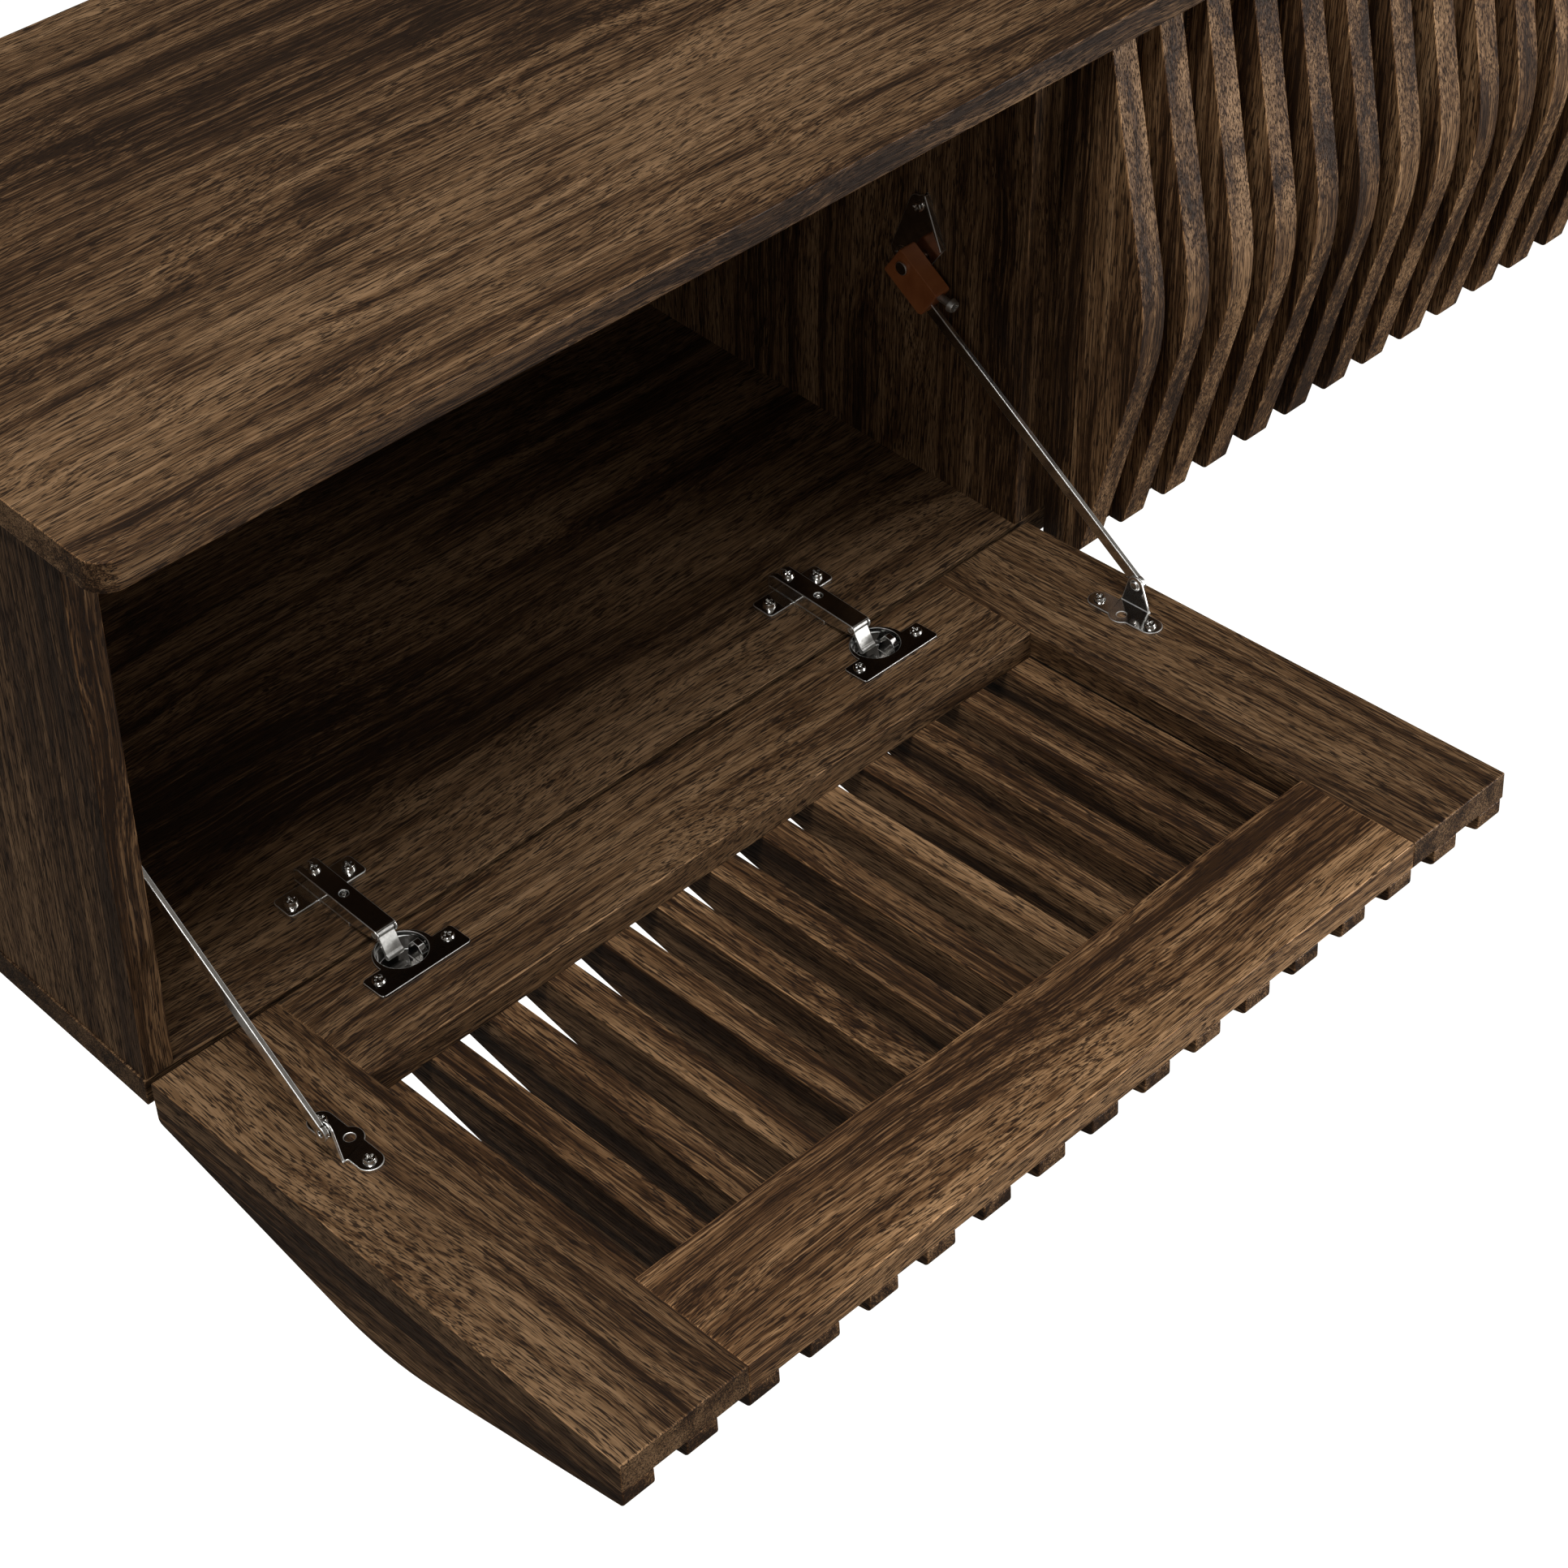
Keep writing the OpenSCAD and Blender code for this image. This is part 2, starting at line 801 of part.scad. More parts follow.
// The plate on the wall, its bent front edge and the pivot pin
module wall_bracket() {
  pivot = [stay_y, stay_z];
  first = pivot + wall_holes[0];
  second = pivot + wall_holes[1];
  lip = pivot + [-18.5, 13];
  lip_top = pivot + [-4, 47];
  difference() {
    union() {
      along_x(0, plate_t) difference() {
        union() {
          stadium(first, second, 8);
          stadium(pivot, second, 8);
          polygon([first + [0, 8], lip_top, lip, pivot + [-6, -6], second]);
        }
        translate(first) circle(2.2);
        translate(second) circle(2.2);
      }
      along_x(0, 4.5) polygon([lip_top, lip, lip + [1.8, -0.8], lip_top + [1.8, -0.8]]);
      along_x(0, housing_side + housing_t + 0.4) translate(pivot) circle(pivot_r);
      along_x(housing_side + housing_t + 0.3, 1.6) translate(pivot) circle(pivot_r + 1.6);
    }
  }
}

module wall_screw_set(grow) {
  for (hole = wall_holes) {
    translate([plate_t, stay_y + hole[0], stay_z + hole[1]]) rotate([0, 90, 0])
      if (grow > 0) {
        translate([0, 0, -13.5]) cylinder(r = 2 + grow, h = 13.6);
      } else {
        screw(2, 13, 4, 2.2);
      }
  }
}

module stay_wall_brackets() {
  color(nickel) for (side = ["left", "right"], place = ["outer", "inner"]) {
    on_side(side) at_wall(place) wall_bracket();
  }
}

module stay_wall_screws() {
  color(nickel) for (side = ["left", "right"], place = ["outer", "inner"]) {
    on_side(side) at_wall(place) wall_screw_set(0);
  }
}

// Frame of a stay's housing: X away from the wall, Y along the bar towards its tail,
// Z across the bar, with the upper pivot at the origin
module at_housing(turn) {
  translate([0, stay_y, stay_z]) rotate([stay_tilt(turn), 0, 0]) children();
}

housing_front = -28;
housing_back = 9;
housing_low = -stay_offset - 7;
housing_high = 9;
adjuster_tilt = 24;

module adjuster_place() {
  translate([housing_side + housing_t / 2, housing_front + 1, 3.5]) rotate([90 - adjuster_tilt, 0, 0]) children();
}

module housing() {
  difference() {
    along_x(housing_side, housing_t) polygon([
      [housing_front + 2, housing_low], [housing_back - 1, housing_low], [housing_back, housing_low + 1],
      [housing_back, housing_high - 1], [housing_back - 1, housing_high], [housing_front + 1, housing_high],
      [housing_front, housing_high - 1], [housing_front, housing_low + 2]
    ]);
    along_x(0, 30) circle(pivot_r + 0.1);
    box(
      [bar_side - 0.2, housing_front - 5, -stay_offset - bar_h / 2 - 0.2],
      [bar_side + bar_t + 0.2, housing_back + 5, -stay_offset + bar_h / 2 + 0.2]
    );
    adjuster_place() translate([0, 0, -7]) cylinder(r = 2.5 + fit, h = 30);
  }
}

module adjuster() {
  adjuster_place() translate([0, 0, 10]) screw(2.5, 16, 4.6, 3.6);
}

// The flat bar: its lower eye at the door bracket, its tail through the housing
module stay_bar(turn) {
  reach = stay_reach(turn);
  full = stay_reach(open_angle) + bar_tail;
  at_housing(turn) difference() {
    along_x(bar_side, bar_t) difference() {
      union() {
        translate([-reach, -stay_offset - bar_h / 2]) square([full, bar_h]);
        translate([-reach, -stay_offset]) circle(bar_h / 2 + 0.8);
      }
      translate([-reach, -stay_offset]) circle(2);
    }
  }
}

module left_outer_stay_housing() {
  color(brown) at_wall("outer") at_housing(open_angle) housing();
}

module left_inner_stay_housing() {
  color(brown) at_wall("inner") at_housing(open_angle) housing();
}

module left_stay_adjusters() {
  color(nickel) for (place = ["outer", "inner"]) at_wall(place) at_housing(open_angle) adjuster();
}

module left_outer_stay_bar() {
  color(nickel) at_wall("outer") stay_bar(open_angle);
}

module left_inner_stay_bar() {
  color(nickel) at_wall("inner") stay_bar(open_angle);
}

module right_outer_stay_housing() {
  color(brown) on_side("right") at_wall("outer") at_housing(0) housing();
}

module right_inner_stay_housing() {
  color(brown) on_side("right") at_wall("inner") at_housing(0) housing();
}

module right_stay_adjusters() {
  color(nickel) for (place = ["outer", "inner"]) on_side("right") at_wall(place) at_housing(0) adjuster();
}

module right_outer_stay_bar() {
  color(nickel) on_side("right") at_wall("outer") stay_bar(0);
}

module right_inner_stay_bar() {
  color(nickel) on_side("right") at_wall("inner") stay_bar(0);
}

// Frame of a door bracket: X away from the wall, Y up the closed door from the lower
// pivot, Z into the cabinet from the door's inner face
module at_door_bracket() {
  translate([0, door_y, base_z + stay_door_v]) rotate([90, 0, 0]) mirror([0, 0, 1]) children();
}

module door_bracket() {
  at_door_bracket() {
    linear_extrude(plate_t) difference() {
      union() {
        stadium([door_hole_t, bracket_holes[0]], [door_hole_t, bracket_holes[1]], 7.5);
        translate([door_hole_t + 3, 0]) circle(8);
        translate([ear_side, -11.5]) square([door_hole_t - ear_side, 23]);
      }
      for (v = bracket_holes) translate([door_hole_t, v]) circle(2.2);
      translate([door_hole_t + 3, 0]) circle(3);
    }
    translate([ear_side, 0, 0]) rotate([90, 0, 90]) {
      linear_extrude(ear_t) {
        polygon([[-11.5, 0], [11.5, 0], [5.2, stay_door_w + 2.5], [-5.2, stay_door_w + 2.5]]);
        translate([0, stay_door_w]) circle(5.8);
      }
      translate([0, stay_door_w, ear_t]) cylinder(r1 = 3.4, r2 = 2.6, h = 1.4);
    }
  }
}

module door_bracket_screw_set(grow) {
  at_door_bracket() for (v = bracket_holes) {
    translate([door_hole_t, v, plate_t])
      if (grow > 0) {
        translate([0, 0, -14]) cylinder(r = 2 + grow, h = 14);
      } else {
        screw(2, 13.5, 4, 2.2);
      }
  }
}

module left_door_brackets() {
  color(nickel) for (place = ["outer", "inner"]) turned(open_angle) at_wall(place) door_bracket();
}

module left_door_bracket_screws() {
  color(nickel) for (place = ["outer", "inner"]) turned(open_angle) at_wall(place) door_bracket_screw_set(0);
}

module right_door_brackets() {
  color(nickel) for (place = ["outer", "inner"]) on_side("right") at_wall(place) door_bracket();
}

module right_door_bracket_screws() {
  color(nickel) for (place = ["outer", "inner"]) on_side("right") at_wall(place) door_bracket_screw_set(0);
}

top_panel();
bottom_panel();
left_side_panel();
right_side_panel();
centre_divider();
left_back_panel();
right_back_panel();
left_hanging_rail();
right_hanging_rail();
carcass_dowels();
cam_bolts();
cam_locks();
bottom_screws();
hinge_plates();
hinge_plate_screws();
hinge_arm_screws();
left_outer_hinge_arm();
left_inner_hinge_arm();
right_inner_hinge_arm();
right_outer_hinge_arm();
stay_wall_brackets();
stay_wall_screws();
left_outer_stile();
left_inner_stile();
left_upper_rail();
left_lower_rail();
left_slats();
left_door_dowels();
left_outer_hinge_cup();
left_inner_hinge_cup();
left_cup_screws();
left_door_brackets();
left_door_bracket_screws();
left_outer_hinge_link();
left_inner_hinge_link();
left_outer_stay_housing();
left_inner_stay_housing();
left_stay_adjusters();
left_outer_stay_bar();
left_inner_stay_bar();
right_outer_stile();
right_inner_stile();
right_upper_rail();
right_lower_rail();
right_slats();
right_door_dowels();
right_outer_hinge_cup();
right_inner_hinge_cup();
right_cup_screws();
right_door_brackets();
right_door_bracket_screws();
right_outer_hinge_link();
right_inner_hinge_link();
right_outer_stay_housing();
right_inner_stay_housing();
right_stay_adjusters();
right_outer_stay_bar();
right_inner_stay_bar();
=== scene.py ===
"""Wall-hung slatted cabinet: materials, eased edges, floor, light and camera."""
import math
import bmesh
import bpy
from mathutils import Matrix, Vector

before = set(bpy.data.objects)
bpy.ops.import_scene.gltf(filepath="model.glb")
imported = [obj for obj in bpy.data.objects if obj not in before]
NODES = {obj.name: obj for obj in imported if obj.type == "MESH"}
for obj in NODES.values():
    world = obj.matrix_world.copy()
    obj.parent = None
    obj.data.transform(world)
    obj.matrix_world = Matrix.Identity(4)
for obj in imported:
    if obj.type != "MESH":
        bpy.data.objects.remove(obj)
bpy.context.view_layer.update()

OPEN_ANGLE = 86.0                      # degrees by which the left door stands open at rest


# Camera ------------------------------------------------------------------------------

def add_camera(azimuth, elevation, roll, place, lens, shift_y):
    """A camera at place. Azimuth 0 looks along +Y, and the three angles are in degrees."""
    a, e, r = (math.radians(angle) for angle in (azimuth, elevation, roll))
    back = Vector((math.sin(a) * math.cos(e), -math.cos(a) * math.cos(e), math.sin(e)))
    right = Vector((math.cos(a), math.sin(a), 0.0))
    up = back.cross(right)
    turned_right = math.cos(r) * right + math.sin(r) * up
    turned_up = -math.sin(r) * right + math.cos(r) * up
    data = bpy.data.cameras.new("camera")
    data.lens = lens
    data.sensor_width = 36.0
    data.shift_y = shift_y
    data.clip_end = 50.0
    camera = bpy.data.objects.new("camera", data)
    rotation = Matrix((turned_right, turned_up, back)).transposed().to_4x4()
    camera.matrix_world = Matrix.Translation(place) @ rotation
    bpy.context.scene.collection.objects.link(camera)
    bpy.context.scene.camera = camera


add_camera(
    azimuth=-44.226, elevation=38.814, roll=-0.151,
    place=(-1.3145, -1.509, 1.0511), lens=80.65, shift_y=-0.15)


# Node-tree helpers -------------------------------------------------------------------

MIX_FACTOR, MIX_FIRST, MIX_SECOND = 0, 6, 7      # inputs of a Mix node set to colour
MIX_RESULT = 2                                   # its output


class Tree:
    """Adds nodes to a material and links them, one call per node."""

    def __init__(self, name):
        self.material = bpy.data.materials.new(name)
        self.material.use_nodes = True
        self.nodes = self.material.node_tree.nodes
        self.links = self.material.node_tree.links
        self.shader = self.nodes["Principled BSDF"]

    def add(self, kind, inputs=None, **settings):
        node = self.nodes.new(kind)
        for key, value in settings.items():
            setattr(node, key, value)
        for key, value in (inputs or {}).items():
            self.put(node, key, value)
        return node

    def put(self, node, key, value):
        if isinstance(value, bpy.types.NodeSocket):
            self.links.new(value, node.inputs[key])
        else:
            node.inputs[key].default_value = value

    def place(self):
        """Coordinates that stay on the piece when it moves, in metres."""
        return self.add("ShaderNodeTexCoord").outputs["Object"]

    def math(self, operation, first, second=0.0, clamp=False):
        node = self.add("ShaderNodeMath", {0: first, 1: second}, operation=operation, use_clamp=clamp)
        return node.outputs[0]

    def plus(self, first, second, clamp=False):
        return self.math("ADD", first, second, clamp)

    def minus(self, first, second):
        return self.math("SUBTRACT", first, second)

    def times(self, first, second):
        return self.math("MULTIPLY", first, second)

    def swing(self, noise, amount):
        """A noise from 0 to 1 as a change about 0, as strong as amount."""
        return self.times(self.minus(noise, 0.5), amount)

    def mapping(self, vector, scale=(1, 1, 1), turn=(0, 0, 0), shift=(0, 0, 0)):
        inputs = {"Vector": vector, "Scale": scale, "Rotation": turn, "Location": shift}
        return self.add("ShaderNodeMapping", inputs).outputs[0]

    def noise(self, vector, scale, detail=4.0, roughness=0.5, distortion=0.0):
        inputs = {
            "Vector": vector, "Scale": scale, "Detail": detail,
            "Roughness": roughness, "Distortion": distortion}
        return self.add("ShaderNodeTexNoise", inputs).outputs[0]

    def drawn_noise(self, vector, layer, *settings, width=1.0):
        """Noise drawn out along X. layer holds its scale along and across, width broadens it."""
        along, across = layer
        drawn = self.mapping(vector, scale=(along, across / width, across / width))
        return self.noise(drawn, 1.0, *settings)

    def ramp(self, factor, stops):
        node = self.add("ShaderNodeValToRGB", {"Fac": factor})
        elements = node.color_ramp.elements
        while len(elements) < len(stops):
            elements.new(0.5)
        for element, (position, colour) in zip(elements, stops):
            element.position = position
            element.color = (*colour, 1.0)
        return node.outputs[0]

    def grey_ramp(self, factor, low, high):
        node = self.add("ShaderNodeMapRange", {"Value": factor, "From Min": low, "From Max": high})
        return node.outputs[0]

    def mix(self, factor, first, second):
        node = self.add("ShaderNodeMix", data_type="RGBA", blend_type="MIX")
        self.put(node, MIX_FACTOR, factor)
        for index, colour in ((MIX_FIRST, first), (MIX_SECOND, second)):
            given_by_node = isinstance(colour, bpy.types.NodeSocket)
            self.put(node, index, colour if given_by_node else (*colour, 1.0))
        return node.outputs[MIX_RESULT]

    def bump(self, height, strength, distance):
        inputs = {"Height": height, "Strength": strength, "Distance": distance}
        self.put(self.shader, "Normal", self.add("ShaderNodeBump", inputs).outputs[0])


def linear(red, green, blue):
    """A colour given as sRGB numbers from 0 to 255, in scene-linear light."""
    def one(value):
        value /= 255.0
        return value / 12.92 if value <= 0.04045 else ((value + 0.055) / 1.055) ** 2.4
    return (one(red), one(green), one(blue))


def lit(colour, light):
    """An sRGB colour made lighter or darker, in scene-linear light."""
    return linear(*(value * light for value in colour))


# Walnut ------------------------------------------------------------------------------

# Turns that bring the grain of a board along X
GRAIN_TURNS = {"X": (0.0, 0.0, 0.0), "Z": (0.0, math.radians(90), 0.0)}
SEED_STEP = (1.37, 0.71, 0.43)         # metres between the figures of two boards, per seed

# Layers of the figure: scale along and across the grain
WANDER = (2.0, 7.0)
ZONES = (0.8, 8.0)
RINGS = (1.3, 13.0)
STREAKS = (1.2, 120.0)
FIBRES = (3.5, 800.0)
PORES = (90.0, 1500.0)
LONG_PORES = (30.0, 1300.0)
SHEEN = (3.0, 40.0)

WANDER_REACH = 0.05                    # metres
LINES_PER_RING = 13.0
LINE_SHARPNESS = 2.2
ZONE_CONTRAST = 1.5
LINE_CONTRAST = 0.3
STREAK_CONTRAST = 1.2
FIBRE_CONTRAST = 1.6
PORE_CONTRAST = 0.9
LACQUER_ROUGHNESS = 0.42
LACQUER_SPECULAR = 0.16
WOOD_RELIEF = 0.00022                  # metres

# sRGB colours from the darkest growth to the lightest
WALNUT_TONES = (
    (0.0, (40, 26, 15)),
    (0.26, (74, 52, 33)),
    (0.46, (104, 78, 53)),
    (0.66, (124, 96, 68)),
    (0.95, (142, 112, 82)))
PORE_TONE = (26, 15, 8)


def walnut(name, grain, seed, tilt=0.0, light=1.0, cathedral=1.0, width=1.0, polish=0.0):
    """Walnut veneer: figure, fibres, dark open pores and a satin lacquer.

    grain is X or Z, tilt the angle in degrees by which the piece has been turned about X,
    cathedral how strong the growth lines are, width how broad the figure is, and polish how
    much smoother than a face the piece is.
    """
    t = Tree(name)
    place = t.place()
    upright = t.mapping(place, turn=(math.radians(-tilt), 0.0, 0.0)) if tilt else place
    wood = t.mapping(upright, turn=GRAIN_TURNS[grain])
    wood = t.mapping(wood, shift=tuple(seed * step for step in SEED_STEP))

    # Slow wander of the grain across the board
    sway = t.swing(t.drawn_noise(wood, WANDER, 3.0, 0.5, width=width), WANDER_REACH * width)
    offset = t.add("ShaderNodeCombineXYZ", {"Y": sway, "Z": sway}).outputs[0]
    warped = t.add("ShaderNodeVectorMath", {0: wood, 1: offset}, operation="ADD").outputs[0]

    # Broad light and dark zones, then growth lines that close into arches in places
    zones = t.drawn_noise(warped, ZONES, 4.0, 0.5, 0.2, width=width)
    rings = t.drawn_noise(warped, RINGS, 1.5, 0.45, 0.25, width=width)
    lines = t.math("PINGPONG", t.times(rings, LINES_PER_RING), 1.0)
    streaks = t.drawn_noise(warped, STREAKS, 3.0, 0.6)
    fibres = t.drawn_noise(warped, FIBRES, 2.0, 0.6)
    pores = t.drawn_noise(warped, PORES, 1.0, 0.5)
    long_pores = t.drawn_noise(warped, LONG_PORES, 1.0, 0.5)

    tone = t.plus(t.swing(zones, ZONE_CONTRAST), 0.5)
    dark_lines = t.times(t.math("POWER", lines, LINE_SHARPNESS), LINE_CONTRAST * cathedral)
    tone = t.minus(tone, dark_lines)
    tone = t.plus(tone, t.swing(streaks, STREAK_CONTRAST))
    tone = t.plus(tone, t.swing(fibres, FIBRE_CONTRAST))
    colour = t.ramp(tone, [(position, lit(shade, light)) for position, shade in WALNUT_TONES])
    open_pores = t.math("MAXIMUM", t.grey_ramp(pores, 0.54, 0.60), t.grey_ramp(long_pores, 0.60, 0.65))
    colour = t.mix(t.times(open_pores, PORE_CONTRAST), colour, lit(PORE_TONE, light))
    t.put(t.shader, "Base Color", colour)

    sheen = t.drawn_noise(wood, SHEEN, 3.0)
    roughness = t.plus(t.times(sheen, 0.14), t.times(open_pores, 0.2))
    t.put(t.shader, "Roughness", t.plus(roughness, LACQUER_ROUGHNESS - polish, clamp=True))
    t.put(t.shader, "Specular IOR Level", LACQUER_SPECULAR)
    t.bump(t.minus(t.times(fibres, 0.3), open_pores), 0.4, WOOD_RELIEF)
    return t.material


# Metals, plastic and plain wood --------------------------------------------------------

ROLLING_MARKS = (40.0, 900.0)          # scale along and across
PIT_SCALE = 2400.0
WORN_TINT = 0.78                       # how bright the worn patches are beside the rest
MOULD_GRAIN_SCALE = 1900.0
BEECH_BANDS = (2.0, 30.0)
BEECH_FLECKS = (160.0, 900.0)
BEECH_TONES = ((0.3, (176, 138, 92)), (0.7, (214, 178, 130)))
FLECK_TONE = (128, 92, 58)
FINE_RELIEF = 0.00008                  # metres, on metal and plastic
BEECH_RELIEF = 0.0002                  # metres


def plated_steel(name, tint, roughness, wear_scale=180.0):
    """Bright plated steel: faint pitting, rolling marks and patchy polish."""
    t = Tree(name)
    place = t.place()
    patches = t.noise(place, wear_scale, 4.0, 0.6)
    marks = t.drawn_noise(place, ROLLING_MARKS, 3.0, 0.6)
    pits = t.noise(place, PIT_SCALE, 2.0, 0.5)
    worn_tint = tuple(value * WORN_TINT for value in tint)
    t.put(t.shader, "Base Color", t.mix(t.grey_ramp(patches, 0.42, 0.62), tint, worn_tint))
    t.put(t.shader, "Metallic", 1.0)
    spread = t.plus(t.times(patches, 0.14), t.times(marks, 0.08))
    t.put(t.shader, "Roughness", t.plus(spread, roughness - 0.1, clamp=True))
    t.bump(t.plus(t.times(marks, 0.5), t.times(pits, 0.5)), 0.12, FINE_RELIEF)
    return t.material


def moulded_plastic(name, colour, deep):
    """Moulded plastic with a fine spark-eroded grain and slight colour flow."""
    t = Tree(name)
    place = t.place()
    flow = t.noise(t.mapping(place, scale=(30.0, 90.0, 60.0)), 1.0, 3.0, 0.5)
    grain = t.noise(place, MOULD_GRAIN_SCALE, 3.0, 0.6)
    t.put(t.shader, "Base Color", t.mix(t.grey_ramp(flow, 0.3, 0.7), colour, deep))
    t.put(t.shader, "Roughness", t.plus(t.times(grain, 0.2), 0.34, clamp=True))
    t.bump(grain, 0.25, FINE_RELIEF)
    return t.material


def pale_wood(name, seed):
    """Plain beech for the dowels and the hanging rails."""
    t = Tree(name)
    place = t.mapping(t.place(), shift=(seed, seed * 0.5, 0.0))
    bands = t.drawn_noise(place, BEECH_BANDS, 4.0, 0.6, 0.3)
    flecks = t.drawn_noise(place, BEECH_FLECKS, 2.0)
    colour = t.ramp(bands, [(position, linear(*shade)) for position, shade in BEECH_TONES])
    colour = t.mix(t.times(t.grey_ramp(flecks, 0.58, 0.68), 0.5), colour, linear(*FLECK_TONE))
    t.put(t.shader, "Base Color", colour)
    t.put(t.shader, "Roughness", t.plus(t.times(bands, 0.15), 0.5))
    t.bump(t.minus(bands, flecks), 0.2, BEECH_RELIEF)
    return t.material


# Eased edges ---------------------------------------------------------------------------

# Widths in metres
BOARD_EDGE = 0.0006
SLAT_EDGE = 0.0007
BACK_EDGE = 0.0003
METAL_EDGE = 0.0005
FINE_EDGE = 0.0003
HOUSING_EDGE = 0.0007

WELD_REACH = 0.000005                  # metres
FLAT_ANGLE = 0.5                       # degrees between triangles of one flat face
HARD_ANGLE = 30.0                      # degrees from which an edge is eased
PAINTED_EDGE_HIGHLIGHT = 1.25                      # how much lighter the bevel of a wooden edge is than its face: a painted highlight
EDGE_POLISH = 0.12


def ease_edges(node, width, segments, whole_flats):
    """A small bevel on every hard edge of a CAD part, in its last material, shaded smooth.

    whole_flats joins the triangles of each flat face first, which keeps the bevel even.
    """
    weld = node.modifiers.new("joined faces", "WELD")
    weld.merge_threshold = WELD_REACH
    if whole_flats:
        flat = node.modifiers.new("whole flats", "DECIMATE")
        flat.decimate_type = "DISSOLVE"
        flat.angle_limit = math.radians(FLAT_ANGLE)
    bevel = node.modifiers.new("eased edges", "BEVEL")
    bevel.width = width
    bevel.segments = segments
    bevel.limit_method = "ANGLE"
    bevel.angle_limit = math.radians(HARD_ANGLE)
    # The bevel takes the part's last material; on boards and metal parts that is a lighter copy, a painted
    # edge highlight.
    bevel.material = len(node.data.materials) - 1
    bevel.miter_outer = "MITER_ARC"
    bevel.use_clamp_overlap = False
    smooth = node.modifiers.new("weighted normals", "WEIGHTED_NORMAL")
    smooth.keep_sharp = True
    smooth.weight = 80


def dress(name, materials, edge=0.0, segments=2, whole_flats=True):
    """Gives a CAD part its material, or its face and edge materials, and eases its edges."""
    node = NODES[name]
    node.data.materials.clear()
    for material in materials if isinstance(materials, tuple) else (materials,):
        node.data.materials.append(material)
    if edge:
        ease_edges(node, edge, segments, whole_flats)


# Boards --------------------------------------------------------------------------------

FIRST_DOOR_SEED = 7.0
DOOR_SEED_STEP = 1.3

# Part, way of its grain, and how light it is; the upper rail's extra lightness is painted light
DOOR_BOARDS = (
    ("outer_stile", "Z", 1.0),
    ("inner_stile", "Z", 0.98),
    ("upper_rail", "X", 1.28),
    ("lower_rail", "X", 0.96))


def board(name, grain, seed, light=1.0, **settings):
    """Face and edge walnut for one board: the edges are lighter, as a painted highlight, and smoother."""
    face = walnut(name, grain, seed, light=light, **settings)
    edge = walnut(name + " edge", grain, seed, light=light * PAINTED_EDGE_HIGHLIGHT, polish=EDGE_POLISH, **settings)
    return (face, edge)


def dress_door(side, tilt, seed_shift, slat_seed):
    """Frame and slats of one door, which is modelled tilt degrees open."""
    for index, (part, grain, light) in enumerate(DOOR_BOARDS):
        seed = FIRST_DOOR_SEED + index * DOOR_SEED_STEP + seed_shift
        frame_walnut = board("walnut " + side + " " + part, grain, seed, tilt=tilt, light=light)
        dress(side + "_" + part, frame_walnut, BOARD_EDGE)
    # The slats' light of 1.12 is painted light on their front faces.
    slat_walnut = board(
        "walnut " + side + " slats", "Z", slat_seed, tilt=tilt, width=0.7, cathedral=1.3, light=1.12)
    dress(side + "_slats", slat_walnut, SLAT_EDGE)


dress("top_panel", board("walnut top", "X", 1.0, width=1.3), BOARD_EDGE, segments=3)
dress("bottom_panel", board("walnut bottom", "X", 2.3, width=1.2, light=0.9), BOARD_EDGE)
dress("left_side_panel", board("walnut left side", "Z", 3.1), BOARD_EDGE)
dress("right_side_panel", board("walnut right side", "Z", 4.7), BOARD_EDGE)
dress("centre_divider", board("walnut divider", "Z", 5.2), BOARD_EDGE)
for index, name in enumerate(("left_back_panel", "right_back_panel")):
    dress(name, board("walnut back " + str(index), "X", 6.0 + index, light=0.9), BACK_EDGE)
dress_door("left", tilt=OPEN_ANGLE, seed_shift=0.0, slat_seed=15.0)
dress_door("right", tilt=0.0, seed_shift=5.0, slat_seed=19.0)


# Fittings ------------------------------------------------------------------------------

NICKEL = plated_steel("bright nickel", (0.80, 0.79, 0.77), roughness=0.12)
# Darker steel for the hinge cups: painted shade in the bowls.
DARKENED_CUP_STEEL = plated_steel("pressed cup", (0.44, 0.43, 0.42), roughness=0.13)
# A lighter, rougher steel for the eased metal edges: a painted edge highlight.
EDGE_HIGHLIGHT_STEEL = plated_steel("painted edge highlight steel", (0.92, 0.92, 0.90), roughness=0.42)
LINK_STEEL = plated_steel("galvanised link", (0.74, 0.73, 0.70), roughness=0.42, wear_scale=420.0)
ZINC = plated_steel("zinc fittings", (0.62, 0.62, 0.60), roughness=0.38)
BROWN = moulded_plastic("brown plastic", linear(160, 96, 54), linear(138, 78, 42))
BEECH = pale_wood("beech", 2.0)

for name in ("carcass_dowels", "left_door_dowels", "right_door_dowels"):
    dress(name, BEECH)
for name in ("left_hanging_rail", "right_hanging_rail"):
    dress(name, BEECH, BOARD_EDGE)
for name in ("cam_bolts", "cam_locks", "bottom_screws"):
    dress(name, ZINC)
for name in NODES:
    if name == "bottom_screws":
        continue
    # The links are galvanised steel; the adjusters get the same bright steel as painted light, as they sit
    # in shade.
    if name.endswith(("hinge_link", "adjusters")):
        dress(name, LINK_STEEL, FINE_EDGE)
    elif name.endswith("hinge_cup"):
        dress(name, (DARKENED_CUP_STEEL, EDGE_HIGHLIGHT_STEEL), FINE_EDGE, whole_flats=False)
    elif name.endswith("stay_housing"):
        dress(name, BROWN, HOUSING_EDGE, segments=3)
    elif name.endswith("screws"):
        dress(name, NICKEL, FINE_EDGE, whole_flats=False)
    elif name.endswith(("hinge_plates", "hinge_arm", "brackets", "stay_bar")):
        dress(name, (NICKEL, EDGE_HIGHLIGHT_STEEL), METAL_EDGE)


# Floor and light -------------------------------------------------------------------------

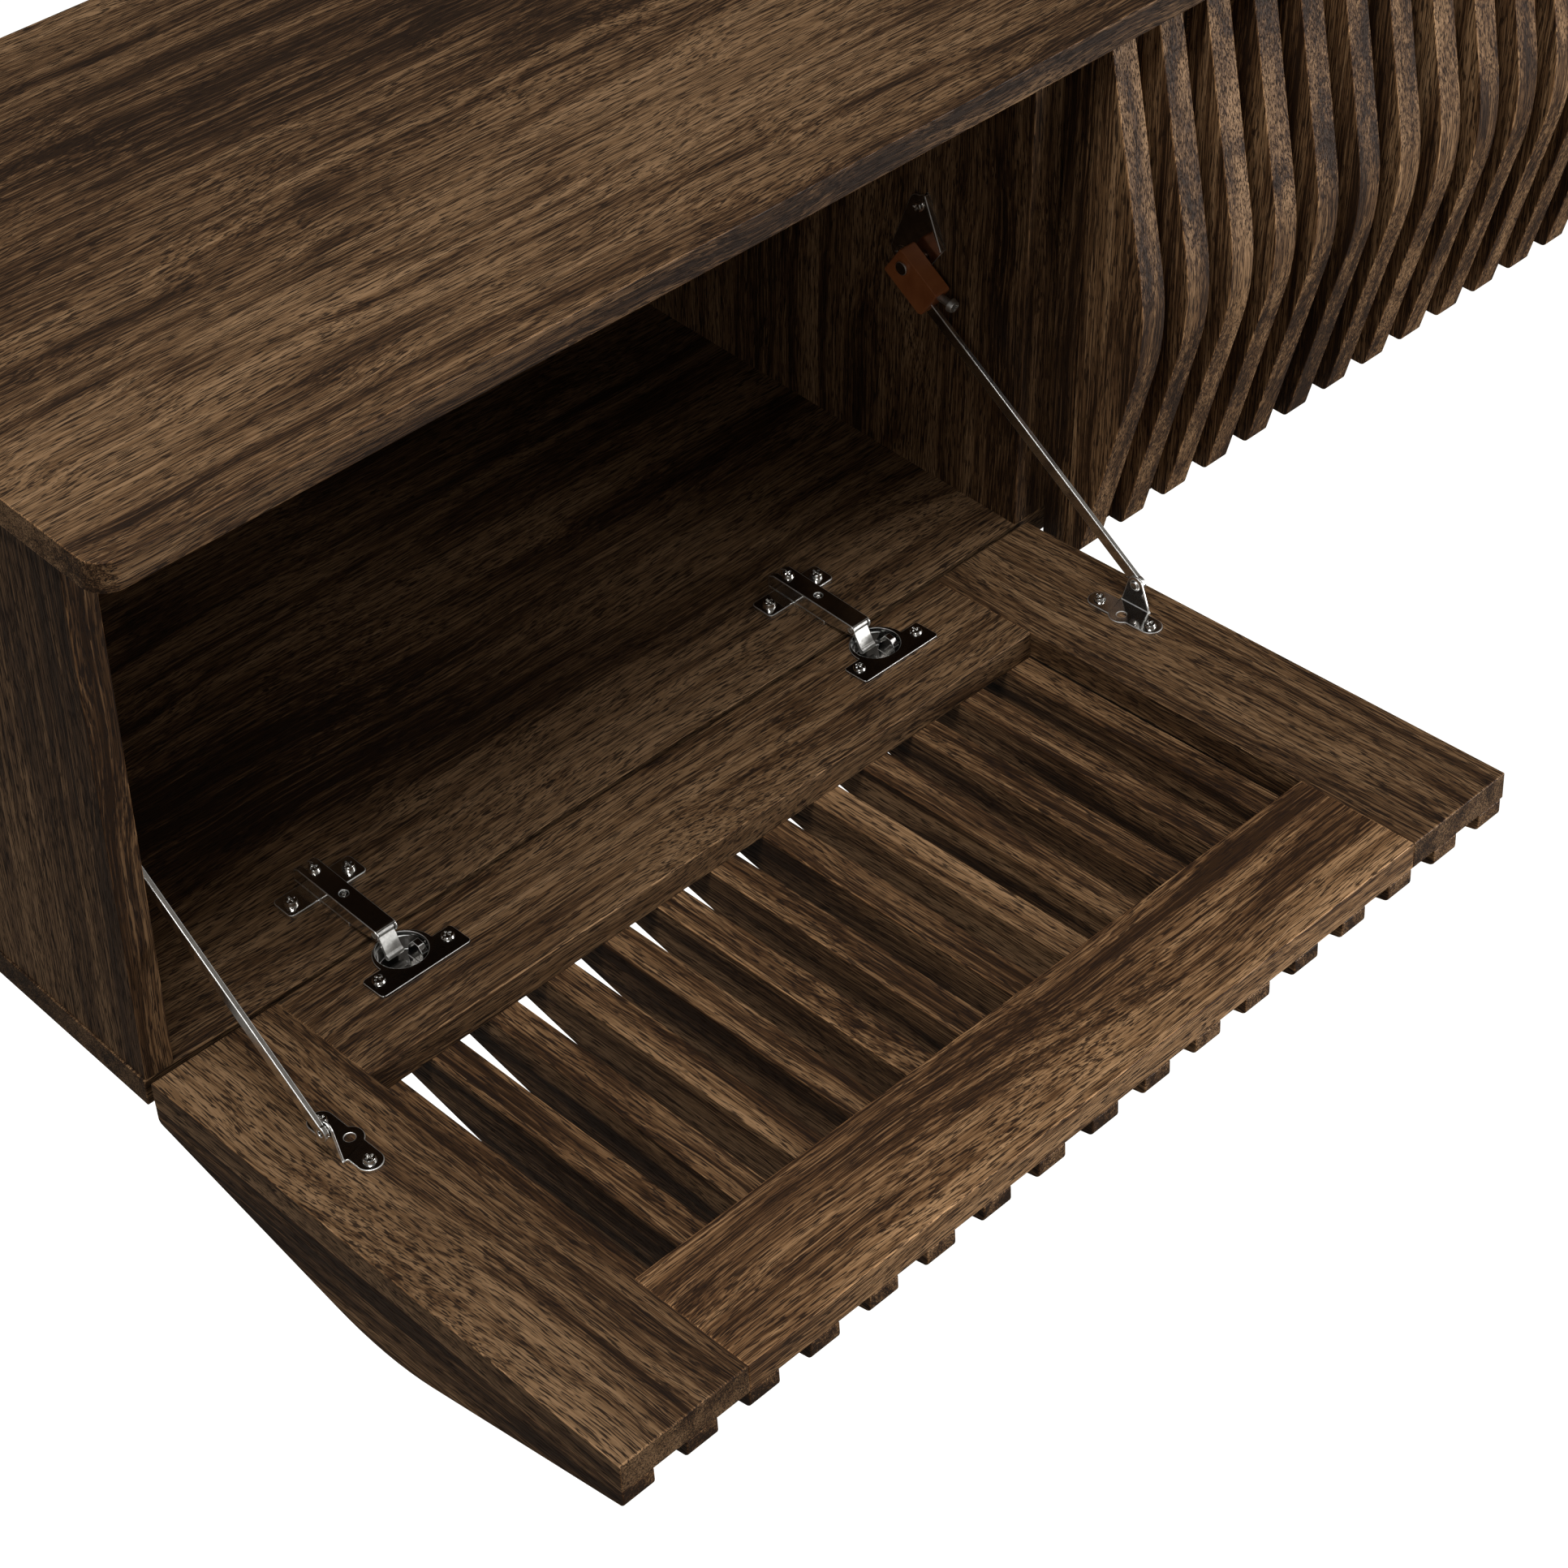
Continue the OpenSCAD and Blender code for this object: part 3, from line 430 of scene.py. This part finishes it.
def add_floor(level, half):
    """A pale, faintly glowing square that the cabinet doesn't mirror or take light from."""
    mesh = bpy.data.meshes.new("floor")
    build = bmesh.new()
    signs = ((-1, -1), (1, -1), (1, 1), (-1, 1))
    build.faces.new([build.verts.new((x * half, y * half, level)) for x, y in signs])
    build.to_mesh(mesh)
    build.free()
    floor = bpy.data.objects.new("floor", mesh)
    bpy.context.scene.collection.objects.link(floor)
    t = Tree("pale floor")
    grain = t.noise(t.place(), 3.0, 3.0)
    t.put(t.shader, "Base Color", t.mix(grain, (0.78, 0.78, 0.77), (0.80, 0.80, 0.79)))
    t.put(t.shader, "Emission Color", (1.0, 1.0, 0.985, 1.0))
    t.put(t.shader, "Emission Strength", 0.9)
    t.put(t.shader, "Roughness", 0.95)
    t.put(t.shader, "Specular IOR Level", 0.0)
    floor.data.materials.append(t.material)
    floor.visible_diffuse = False
    floor.visible_glossy = False


def add_area(name, place, target, size, power, size_y=None):
    """An area light, square unless size_y is given, in metres and watts."""
    data = bpy.data.lights.new(name, "AREA")
    data.energy = power
    data.size = size
    if size_y:
        data.shape = "RECTANGLE"
        data.size_y = size_y
    lamp = bpy.data.objects.new(name, data)
    direction = Vector(target) - Vector(place)
    lamp.matrix_world = Matrix.Translation(place) @ direction.to_track_quat("-Z", "Y").to_matrix().to_4x4()
    bpy.context.scene.collection.objects.link(lamp)


def add_world(colour, strength):
    world = bpy.data.worlds.new("studio")
    bpy.context.scene.world = world
    world.use_nodes = True
    background = world.node_tree.nodes["Background"]
    background.inputs["Color"].default_value = (*colour, 1.0)
    background.inputs["Strength"].default_value = strength


add_floor(level=-2.2, half=16.0)
add_area("key", (-1.1, -0.8, 2.4), target=(-0.2, -0.5, -0.2), size=0.9, power=50.0)
add_area("left fill", (-3.0, -2.4, 1.5), target=(0.0, -0.4, -0.2), size=0.9, power=11.0)
add_area("front soft box", (1.15, -2.2, -0.2), target=(0.2, -0.4, -0.15), size=1.1, power=28.0)
add_area("right strip", (1.2, -1.9, 1.2), target=(-0.2, -0.5, -0.3), size=0.35, power=8.0, size_y=1.6)
add_world((1.0, 0.93, 0.84), strength=0.16)
bpy.context.scene.view_settings.view_transform = "Standard"
